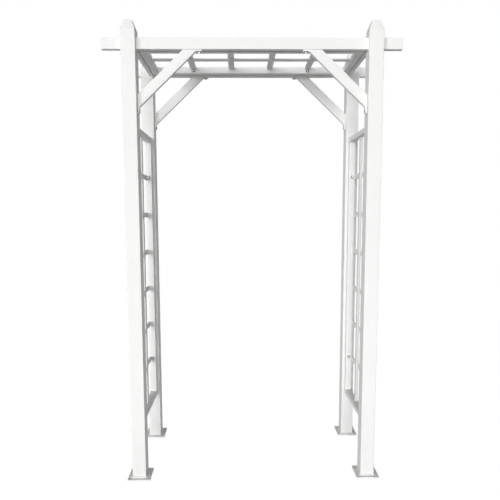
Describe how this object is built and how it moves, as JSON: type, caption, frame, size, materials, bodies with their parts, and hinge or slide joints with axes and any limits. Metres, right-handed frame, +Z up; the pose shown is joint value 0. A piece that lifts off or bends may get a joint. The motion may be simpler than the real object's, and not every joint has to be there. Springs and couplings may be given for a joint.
{
  "type": "garden arbor",
  "caption": "White metal garden arbor: square posts with tapered caps, two cross beams on corner braces, ladder side panels and a ladder roof, on flat foot plates.",
  "frame": {"origin": "on the ground, at the middle of the passage, midway between the front and back posts", "axes": "+X to the right seen from the front, +Y from the front to the back along the passage, +Z up"},
  "size_m": [1.345, 0.543, 2.124],
  "materials": {
    "powder_coat": "satin white powder coat on steel tube",
    "cap_plastic": "satin moulded white plastic",
    "screw_steel": "bright zinc-plated steel",
    "washer_rubber": "dark matt sealing rubber"
  },
  "bodies": {
    "root": {"post_front_left": "powder_coat", "post_front_right": "powder_coat", "post_back_left": "powder_coat", "post_back_right": "powder_coat", "post_cap_front_left": "cap_plastic", "post_cap_front_right": "cap_plastic", "post_cap_back_left": "cap_plastic", "post_cap_back_right": "cap_plastic", "foot_plate_front_left": "powder_coat", "foot_plate_front_right": "powder_coat", "foot_plate_back_left": "powder_coat", "foot_plate_back_right": "powder_coat", "beam_front": "powder_coat", "beam_back": "powder_coat", "beam_cap_front_left": "cap_plastic", "beam_cap_front_right": "cap_plastic", "beam_cap_back_left": "cap_plastic", "beam_cap_back_right": "cap_plastic", "brace_front_left": "powder_coat", "brace_front_right": "powder_coat", "brace_back_left": "powder_coat", "brace_back_right": "powder_coat", "brace_screws_front": "screw_steel", "brace_screws_back": "screw_steel", "brace_washers_front": "washer_rubber", "brace_washers_back": "washer_rubber", "side_panel_left": "powder_coat", "side_panel_right": "powder_coat", "panel_screws_left": "screw_steel", "panel_screws_right": "screw_steel", "panel_washers_left": "washer_rubber", "panel_washers_right": "washer_rubber", "side_header_left": "powder_coat", "side_header_right": "powder_coat", "roof_panel": "powder_coat", "roof_spacers": "powder_coat", "roof_screws": "screw_steel", "roof_washers": "washer_rubber"}
  },
  "joints": []
}
